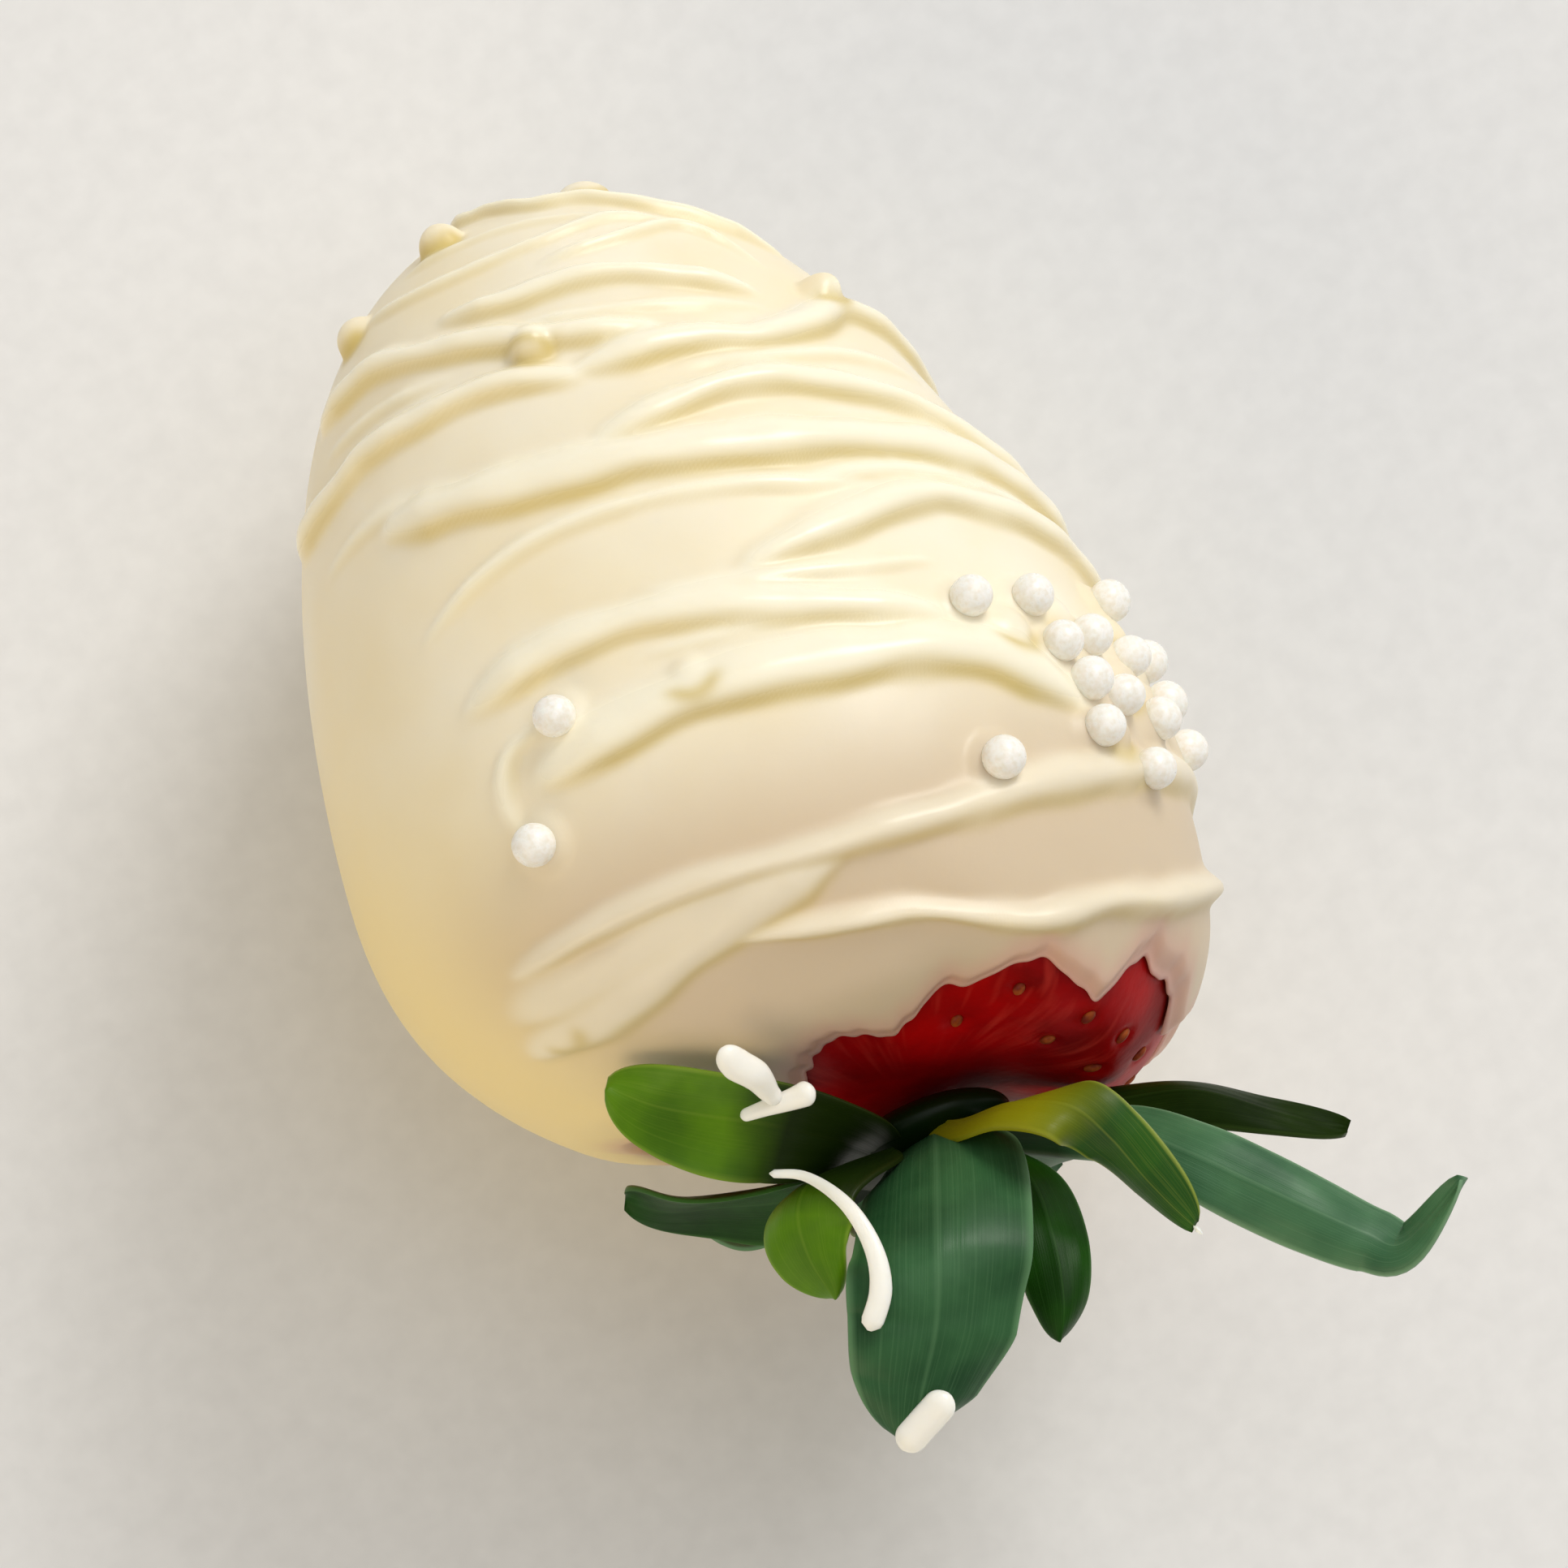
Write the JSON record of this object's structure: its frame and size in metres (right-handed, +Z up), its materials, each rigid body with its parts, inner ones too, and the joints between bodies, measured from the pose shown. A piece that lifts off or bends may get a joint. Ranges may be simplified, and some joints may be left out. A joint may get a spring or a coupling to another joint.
{
  "type": "drizzled dipped strawberry",
  "caption": "Large strawberry dipped in white chocolate with raised drizzle and sugar pearls, bare red shoulder and green leaves, lying on its side.",
  "frame": {"origin": "middle of the small flat foot under the belly, on which the berry rests", "axes": "+Z up towards the drizzled side, +Y along the berry towards its tip, +X towards its right flank"},
  "size_m": [0.0439, 0.0667, 0.0398],
  "materials": {
    "white_chocolate": "smooth satin white chocolate with glossy raised drizzle",
    "strawberry_flesh": "moist red fruit skin with small pale seeds",
    "strawberry_leaf": "waxy green leaf with fine lengthwise veins",
    "sugar_pearl": "hard polished white sugar"
  },
  "bodies": {
    "root": {"chocolate_shell": "white_chocolate", "berry": "strawberry_flesh", "calyx": "strawberry_leaf"}
  },
  "joints": []
}
